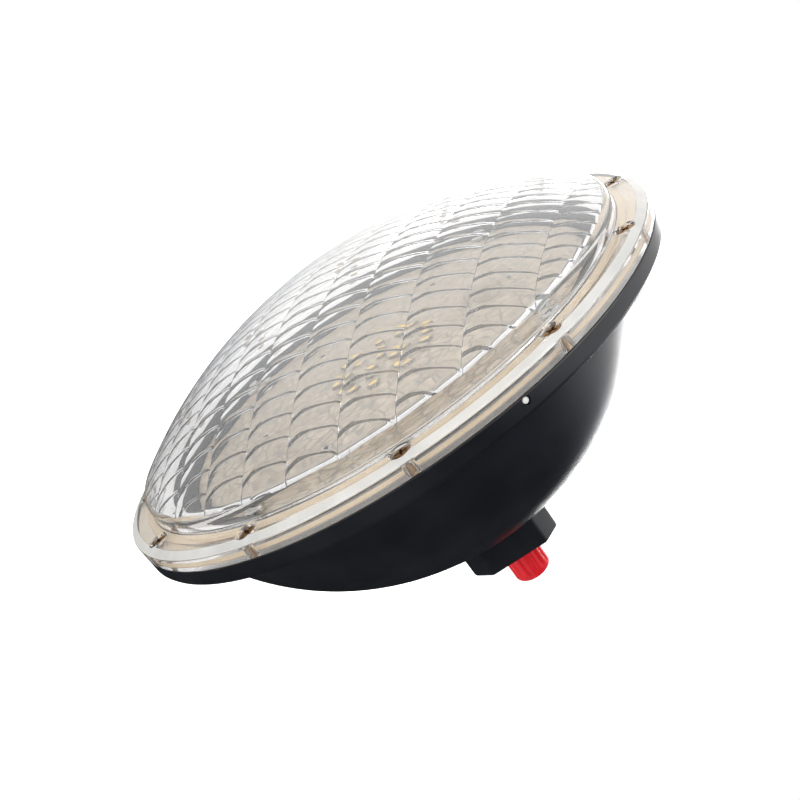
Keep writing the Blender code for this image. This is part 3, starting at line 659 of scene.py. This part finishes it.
def make_housing(finishes):
    floor = BOWL_SEAT + BOWL_WALL
    inside = bowl(BOWL_RADIUS - BOWL_WALL, 0.0, floor, 40)
    inside.reverse()
    rim = rounded([(SEAT_INNER, -0.9, 0.0), (LIP_INNER, RIM_HEIGHT, 0.4),
                   (GROOVE_INNER, RIM_HEIGHT, 0.25), (GROOVE_INNER, GROOVE_FLOOR, 0.2),
                   (GROOVE_OUTER, GROOVE_FLOOR, 0.2),
                   (GROOVE_OUTER, RIM_HEIGHT, 0.25), (RIM_RADIUS, RIM_HEIGHT, 0.4),
                   (RIM_RADIUS, 1.3, 0.5), (RIM_RADIUS - 0.5, 0.4, 0.2), (SEAT_RADIUS, 0.0, 0.15),
                   (SEAT_INNER, 0.0, 0.3)])[1:]
    profile = [(0.0, floor)] + inside + [(LIP_INNER, 0.8)] + rim
    profile += bowl(BOWL_RADIUS, -0.9, BOWL_SEAT, 48) + [(0.0, BOWL_SEAT)]
    shell = lathe(profile, FINE)
    boss_top = -reach("heat_spreader", 1, 1) - GAP
    bosses = gathered([lathe([(0.0, boss_top), (3.5, boss_top), (3.5, -21.8), (0.0, -21.8)], COARSE, p)
                       for p in on_circle(*BOARD_SCREWS)])
    shell = combined(shell, "UNION", bosses)
    cutters = [lathe([(0.0, boss_top + 1), (1.7, boss_top + 1), (1.7, -12.5), (0.0, -12.5)], COARSE, p)
               for p in on_circle(*BOARD_SCREWS)]
    cutters += [lathe([(0.0, 4.7), (1.6, 4.7), (1.6, 0.8), (0.0, 0.8)], COARSE, p)
                for p in on_circle(SCREW_CIRCLE, SCREW_COUNT)]
    cutters += [lathe([(0.0, floor + 1), (1.7, floor + 1), (1.7, BOWL_SEAT - 1), (0.0, BOWL_SEAT - 1)],
                      COARSE, p) for p in on_circle(*BLOCK_SCREWS)]
    cutters += [lathe([(0.0, floor + 1), (4.9, floor + 1), (4.9, BOWL_SEAT - 1), (0.0, BOWL_SEAT - 1)],
                      MEDIUM)]
    pip_angle = radians(18.9)
    sideways = Matrix.Rotation(pip_angle, 4, "Z") @ Matrix.Translation(
        (RIM_RADIUS, 0.0, 3.9)) @ Matrix.Rotation(radians(90.0), 4, "Y")
    cutters += [placed(lathe([(0.0, 1.0), (1.1, 1.0), (1.1, -1.7), (0.0, -1.7)], COARSE), sideways)]
    shell = combined(shell, "DIFFERENCE", gathered(cutters))
    add("black_housing", shell, finishes["housing"], ["rear_housing"], sharp=30.0)
    pip = lathe([(0.0, -0.25), (0.55, -0.27), (0.75, -0.33), (0.85, -0.45), (0.85, -1.4), (0.0, -1.4)],
                COARSE)
    add("white_pip", placed(pip, sideways), finishes["white"], ["index_pip"])


# ---------------------------------------------------------------- LED board

LED_RINGS = ((6.0, 3), (15.0, 9))


def led_places():
    for radius, count in LED_RINGS:
        for i in range(count):
            turn = tau * (i + 0.5) / count
            yield Matrix.Rotation(turn, 4, "Z") @ Matrix.Translation((radius, 0.0, BOARD_TOP + 0.02))


def make_leds(finishes):
    """Square packages: a white body, coloured darker as painted shade, with a dished yellow window and
    three leads on each side.
    """
    side, height, window, sunk = 4.2, 1.1, 1.8, 0.14
    bodies, windows, leads = [], [], []
    for at in led_places():
        body = block((side, side, height), (0.0, 0.0, height / 2 + 0.08), 0.22, 2)
        dish = lathe([(0.0, height + 1.0), (window + 0.25, height + 1.0), (window, height + 0.08 - sunk),
                      (0.0, height + 0.08 - sunk)], COARSE)
        bodies.append(placed(combined(body, "DIFFERENCE", dish), at))
        skin = [(0.0, height - sunk + 0.12), (window * 0.7, height - sunk + 0.115),
                (window - 0.03, height - sunk + 0.09), (window - 0.03, height - sunk - 0.3),
                (0.0, height - sunk - 0.3)]
        windows.append(placed(lathe(skin, COARSE), at))
        for edge in (-1.0, 1.0):
            for k in (-1.2, 0.0, 1.2):
                foot, riser = edge * (side / 2 + 0.25), edge * (side / 2 + 0.06)
                leads.append(placed(block((0.7, 0.6, 0.16), (foot, k, 0.09), 0.05, 1), at))
                leads.append(placed(block((0.16, 0.6, 0.5), (riser, k, 0.33), 0.05, 1), at))
    add("led_bodies", gathered(bodies), finishes["ceramic"])
    add("led_windows", gathered(windows), finishes["phosphor"])
    add("led_leads", gathered(leads), finishes["solder"])


def make_board(finishes):
    disc = lathe(rounded([(0.0, BOARD_TOP, 0.0), (BOARD_RADIUS, BOARD_TOP, 0.12),
                          (BOARD_RADIUS, BOARD_BOTTOM, 0.12), (0.0, BOARD_BOTTOM, 0.0)]), FINE)
    through = ((1.8, on_circle(*BOARD_SCREWS)), (2.8, [(0.0, LEAD_HOLE_OFFSET, 0.0)]))
    cutters = [lathe([(0.0, BOARD_TOP + 1), (r, BOARD_TOP + 1), (r, BOARD_BOTTOM - 1),
                      (0.0, BOARD_BOTTOM - 1)], COARSE, p) for r, places in through for p in places]
    disc = combined(disc, "DIFFERENCE", gathered(cutters))
    add("led_board_disc", disc, finishes["board"], ["led_board"])
    for i, place in enumerate(on_circle(*BOARD_SCREWS)):
        name = f"board_screw_{i + 1}"
        shape = screw(2.8, BOARD_TOP + GAP + 2.0, BOARD_TOP + GAP, 1.4, -11.5, place, turn=0.7 * i)
        add(f"{name}_head", shape, finishes["steel"], [name])
    foot, foot_top = BOARD_TOP + GAP, BOARD_TOP + GAP + REFLECTOR_WALL
    reflector = lathe(rounded([(REFLECTOR_RIM, REFLECTOR_TOP, 0.3), (REFLECTOR_FOOT_OUTER, foot, 0.3),
                               (REFLECTOR_FOOT_INNER, foot, 0.2), (REFLECTOR_FOOT_INNER, foot_top, 0.3),
                               (REFLECTOR_FOOT_OUTER - REFLECTOR_WALL / 2, foot_top, 0.6),
                               (REFLECTOR_RIM - REFLECTOR_WALL, REFLECTOR_TOP, 0.3)]), FINE)
    add("white_reflector", reflector, finishes["reflector"], ["reflector_ring"])
    # A dark band in the rubber finish over the board's edge and the ring's foot: painted shade for the
    # shadow line there.
    corner = REFLECTOR_FOOT_OUTER - REFLECTOR_WALL / 2
    slope = (REFLECTOR_RIM - REFLECTOR_WALL - corner) / (REFLECTOR_TOP - foot_top)
    edge = lathe(rounded([(corner + slope * SHADE_BAND_RISE - 0.1, foot_top + SHADE_BAND_RISE, 0.2),
                          (corner - 0.1, foot_top + 0.05, 0.0),
                          (REFLECTOR_FOOT_INNER - 0.2, foot_top + 0.05, 0.0),
                          (REFLECTOR_FOOT_INNER - 0.2, BOARD_TOP + 0.02, 0.0),
                          (SHADE_BAND_INNER, BOARD_TOP + 0.02, 0.0),
                          (SHADE_BAND_INNER, BOARD_TOP + 0.9, 0.3)]), FINE)
    add("board_edge_painted_shade", edge, finishes["rubber"])
    chips, ends = [], []
    for x, y, _ in on_circle(44.0, 6, tau / 12):
        at = Matrix.Translation((x, y, BOARD_TOP + 0.02)) @ Matrix.Rotation(atan2(y, x), 4, "Z")
        chips.append(placed(block((1.6, 2.2, 0.55), (0.0, 0.0, 0.32), 0.06, 1), at))
        for k in (-1.35, 1.35):
            ends.append(placed(block((1.6, 0.5, 0.6), (0.0, k, 0.32), 0.08, 1), at))
    add("board_resistors", gathered(chips), finishes["black"])
    pads = [lathe([(0.0, 0.75), (0.7, 0.6), (1.3, 0.2), (1.5, 0.02), (0.0, 0.02)], COARSE,
                  (x, LEAD_HOLE_OFFSET, BOARD_TOP)) for x in (-6.6, 6.6)]
    add("solder_joints", gathered(ends + pads), finishes["solder"])
    blob = lathe([(0.0, 3.2), (3.0, 3.05), (6.0, 2.5), (8.5, 1.4), (9.6, 0.4), (9.8, 0.02), (0.0, 0.02)],
                 MEDIUM)
    squash = Matrix.Translation((0.0, LEAD_HOLE_OFFSET, BOARD_TOP)) @ Matrix.Diagonal(
        (1.0, 0.5, 1.0, 1.0))
    add("lead_sealant", placed(blob, squash), finishes["ceramic"])


# ---------------------------------------------------------------- connector

def make_block(finishes):
    """Octagonal block: a square with chamfered, well rounded corners."""
    chamfer = 5.5
    bm = bmesh.new()
    height = BLOCK_TOP - BLOCK_END
    size = Matrix.Diagonal((2 * BLOCK_HALF, 2 * BLOCK_HALF, height, 1.0))
    bmesh.ops.create_cube(bm, size=1.0, matrix=Matrix.Translation(
        (0.0, 0.0, (BLOCK_TOP + BLOCK_END) / 2)) @ size)
    upright = [e for e in bm.edges if abs(e.verts[0].co.z - e.verts[1].co.z) > height / 2]
    bmesh.ops.bevel(bm, geom=upright, offset=chamfer, segments=1, affect="EDGES")
    bmesh.ops.bevel(bm, geom=bm.edges[:], offset=1.0, segments=4, profile=0.5, affect="EDGES")
    cutters = [
        lathe([(0.0, BLOCK_TOP + 1), (BLOCK_HALF - 0.9, BLOCK_TOP + 1),
               (BLOCK_HALF - 0.9, BLOCK_TOP - 1.2), (0.0, BLOCK_TOP - 1.2)], MEDIUM),
        lathe([(0.0, BLOCK_TOP), (4.9, BLOCK_TOP), (4.9, -67.0), (6.9, -67.0), (6.9, BLOCK_END + 0.3),
               (7.3, BLOCK_END - 0.1), (7.3, BLOCK_END - 1.0), (0.0, BLOCK_END - 1.0)], MEDIUM)]
    cutters += [lathe([(0.0, BLOCK_TOP), (1.6, BLOCK_TOP), (1.6, -64.5), (0.0, -64.5)], COARSE, p)
                for p in on_circle(*BLOCK_SCREWS)]
    shape = combined(bm, "DIFFERENCE", *cutters)
    add("black_block", shape, finishes["housing"], ["connector_block"], sharp=28.0)


def make_connector(finishes):
    pitch, depth = 1.0, 0.35

    def threaded(radius, height, turn):
        """A helical thread below the collar, faded out at both its ends."""
        run = min(max((-70.3 - height) / 0.6, 0.0), max((height - SHELL_END - 0.5) / 0.6, 0.0), 1.0)
        if radius < 4.55 or run <= 0.0:
            return radius
        phase = (height / pitch - turn / tau) % 1.0
        return radius - run * depth * (1.0 - abs(2.0 * phase - 1.0))

    outer = 4.6
    steps = [BLOCK_END + GAP - 0.07 * i for i in range(int((BLOCK_END + GAP - SHELL_END - 0.4) / 0.07))]
    profile = [(outer, SHELL_TOP), (outer, -67.8), (6.6, -67.8), (6.6, BLOCK_END + GAP)]
    profile += [(outer, z) for z in steps]
    profile += [(outer - 0.3, SHELL_END), (3.8, SHELL_END), (3.8, SHELL_TOP)]
    add("threaded_shell", lathe(profile, 72, shape=threaded), finishes["nickel"],
        ["connector_shell"], sharp=50.0)


def make_cap(finishes):
    """Fluted cap with a softly rounded tip."""
    flutes, depth = 14, 0.45
    foot, head = BLOCK_END, CAP_TIP

    def fluted(radius, height, turn):
        if radius < CAP_RADIUS - 0.05:
            return radius
        run = min(max((foot - 1.0 - height) / 0.5, 0.0), max((height - head - 1.9) / 0.9, 0.0), 1.0)
        return radius - run * depth * (0.5 - 0.5 * cos(flutes * turn)) ** 1.5

    bore = 4.9
    levels = [foot - 0.3 - 0.25 * i for i in range(int((foot - head - 1.9) / 0.25))]
    tip = arc((CAP_RADIUS - 1.3, head + 1.3), 1.3, 0.0, -90.0, 9)
    profile = [(0.0, head + 2.2), (bore, head + 2.2), (bore, foot), (CAP_RADIUS - 0.3, foot)]
    profile += [(CAP_RADIUS, z) for z in levels] + tip
    profile += [(CAP_RADIUS - 2.4, head + 0.12), (0.0, head + 0.2)]
    add("red_cap", lathe(profile, flutes * 12, shape=fluted), finishes["red"],
        ["protective_cap"], body="cap", sharp=40.0)


# ---------------------------------------------------------------- carried-over nodes

def finish_nodes(finishes):
    """Give the CAD nodes that still show their procedural finishes."""
    wanted = {
        "thermal_pad": "pad", "heat_spreader": "aluminium", "driver_board": "green",
        "smoothing_capacitor": "sleeve", "bridge_rectifier": "black", "controller_chip": "black",
        "switching_transistor": "black", "inductor_core": "ferrite", "inductor_winding": "copper",
        "fuse": "glassy", "connector_washer": "nickel", "connector_nut": "nickel",
        "connector_insert": "white", "contact_pin": "gold", "driver_standoff": "brass",
        "driver_screw": "steel", "block_screw": "steel", "block_gasket": "rubber",
        "connector_seal": "rubber", "cap_seal": "rubber", "lead_grommet": "rubber",
        "led_lead_red": "red_wire", "input_lead_red": "red_wire", "led_lead_black": "black_wire",
        "input_lead_black": "black_wire"}
    for name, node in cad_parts.items():
        if node.hide_render:
            continue
        key = max((k for k in wanted if name.startswith(k)), key=len)
        node.data.materials.clear()
        node.data.materials.append(finishes[wanted[key]])


# ---------------------------------------------------------------- studio

CAMERA_PLACE = Vector((0.278091, -0.088023, 0.028951))
CAMERA_RIGHT = Vector((0.09819, 0.55300, 0.82738))
CAMERA_UP = Vector((-0.33184, -0.76562, 0.55110))
FLOOR_DROP = 0.06         # metres below the lamp
SKY_AXIS = Vector((-0.35, -0.42, 0.84))     # the sky is brightest towards this direction
SKY_RAMP = {"From Min": -0.05, "From Max": 0.45, "To Min": 0.03, "To Max": 1.25}


def make_camera():
    data = bpy.data.cameras.new("camera")
    data.lens = 43.66
    data.sensor_width = 36.0
    data.clip_start = 0.01
    camera = bpy.data.objects.new("camera", data)
    bpy.context.scene.collection.objects.link(camera)
    right = CAMERA_RIGHT.normalized()
    back = right.cross(CAMERA_UP).normalized()
    camera.matrix_world = Matrix.Translation(CAMERA_PLACE) @ Matrix(
        (right, back.cross(right), back)).transposed().to_4x4()
    bpy.context.scene.camera = camera


def make_world():
    """Soft white light from above and in front, darker from below and behind.

    The camera, and rays that leave through the clear lens, see a plain white background instead.
    """
    world = bpy.data.worlds.new("studio")
    world.use_nodes = True
    bpy.context.scene.world = world
    tree = world.node_tree
    link = tree.links.new
    background = tree.nodes["Background"]
    direction = tree.nodes.new("ShaderNodeTexCoord").outputs["Generated"]
    dot = tree.nodes.new("ShaderNodeVectorMath")
    dot.operation = "DOT_PRODUCT"
    dot.inputs[1].default_value = SKY_AXIS.normalized()
    link(direction, dot.inputs[0])
    ramp = tree.nodes.new("ShaderNodeMapRange")
    ramp.interpolation_type = "SMOOTHSTEP"
    for socket, value in SKY_RAMP.items():
        ramp.inputs[socket].default_value = value
    link(dot.outputs["Value"], ramp.inputs["Value"])
    tint = tree.nodes.new("ShaderNodeValToRGB")
    tint.color_ramp.elements[0].color = (0.80, 0.88, 1.0, 1.0)
    tint.color_ramp.elements[1].color = (1.0, 1.0, 1.0, 1.0)
    link(ramp.outputs["Result"], tint.inputs["Fac"])
    link(tint.outputs["Color"], background.inputs["Color"])
    link(ramp.outputs["Result"], background.inputs["Strength"])
    seen = tree.nodes.new("ShaderNodeLightPath")
    result = background.outputs["Background"]
    for ray, white in (("Is Transmission Ray", (1.1, 1.1, 1.13)),
                       ("Is Camera Ray", (1.0, 1.0, 1.0))):
        plain = tree.nodes.new("ShaderNodeBackground")
        plain.inputs["Color"].default_value = (*white, 1.0)
        mix = tree.nodes.new("ShaderNodeMixShader")
        link(seen.outputs[ray], mix.inputs["Fac"])
        link(result, mix.inputs[1])
        link(plain.outputs["Background"], mix.inputs[2])
        result = mix.outputs["Shader"]
    link(result, tree.nodes["World Output"].inputs["Surface"])


def make_floor():
    f = Finish("pale_floor", roughness=0.8)
    f.colour(f.noise(300.0), (0.93, 0.93, 0.93), (0.96, 0.96, 0.96))
    f.shader.inputs["Emission Color"].default_value = (1.0, 1.0, 1.0, 1.0)
    f.shader.inputs["Emission Strength"].default_value = 0.35
    mesh = bpy.data.meshes.new("floor")
    bm = bmesh.new()
    bmesh.ops.create_grid(bm, x_segments=1, y_segments=1, size=8.0)
    bmesh.ops.translate(bm, verts=bm.verts, vec=(0.0, 0.0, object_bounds()[0].z - FLOOR_DROP))
    bm.to_mesh(mesh)
    bm.free()
    mesh.materials.append(f.material)
    floor = bpy.data.objects.new("floor", mesh)
    bpy.context.scene.collection.objects.link(floor)
    floor.visible_glossy = False
    floor.visible_transmission = False


def area_light(name, direction, distance, size, power, colour=(1.0, 1.0, 1.0)):
    """A softbox that looks at the lamp's middle from one direction."""
    data = bpy.data.lights.new(name, "AREA")
    data.shape = "RECTANGLE"
    data.size, data.size_y = size
    data.energy = power
    data.color = colour
    light = bpy.data.objects.new(name, data)
    bpy.context.scene.collection.objects.link(light)
    away = Vector(direction).normalized()
    light.location = away * distance
    light.rotation_mode = "QUATERNION"
    light.rotation_quaternion = away.to_track_quat("Z", "Y")
    light.visible_camera = False
    return light


def make_studio():
    make_camera()
    make_world()
    make_floor()
    area_light("key_softbox", (0.5, -0.9, 1.6), 1.2, (0.9, 0.7), 5.0)
    area_light("edge_softbox", (-0.84, 0.45, 0.31), 0.9, (0.6, 0.6), 8.5)
    bpy.context.scene.view_settings.view_transform = "Standard"


finishes = make_finishes()
make_lens(finishes)
make_lens_fixings(finishes)
make_housing(finishes)
make_board(finishes)
make_leds(finishes)
make_block(finishes)
make_connector(finishes)
make_cap(finishes)
finish_nodes(finishes)
make_studio()
